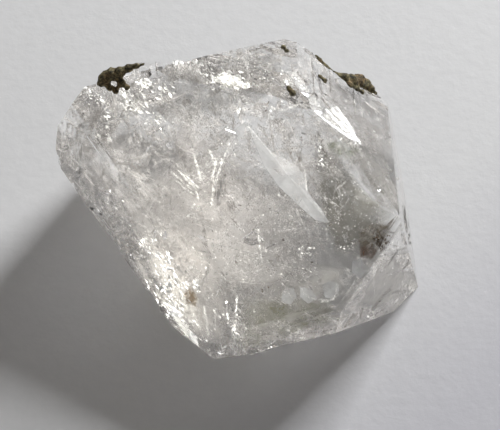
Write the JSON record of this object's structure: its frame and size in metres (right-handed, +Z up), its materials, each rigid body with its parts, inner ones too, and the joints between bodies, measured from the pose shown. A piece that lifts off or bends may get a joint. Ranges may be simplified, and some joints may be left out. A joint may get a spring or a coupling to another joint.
{
  "type": "herkimer diamond quartz crystal",
  "caption": "Stubby, water-clear quartz crystal pointed at both ends, with flat faces, small growth ledges, chipped edges and dark host-rock remnants; lies on a flat break.",
  "frame": {"origin": "bottom centre of the bounding box, on the surface that the crystal lies on", "axes": "+Z up from the flat break that it lies on, +X along the longer side of its footprint, towards the blunt end; the large main face leans towards -Y"},
  "size_m": [0.0124, 0.0114, 0.0069],
  "materials": {
    "clear_quartz": "clear quartz, vitreous, with veils and healed fractures inside",
    "host_rock": "crumbly brown-black dolomite and bitumen, matt"
  },
  "bodies": {
    "root": {"quartz_crystal": "clear_quartz", "matrix_crust_left": "host_rock", "matrix_crust_right": "host_rock", "matrix_crumb_peak": "host_rock", "matrix_crumb_bite": "host_rock", "matrix_crumb_glint": "host_rock"}
  },
  "joints": []
}
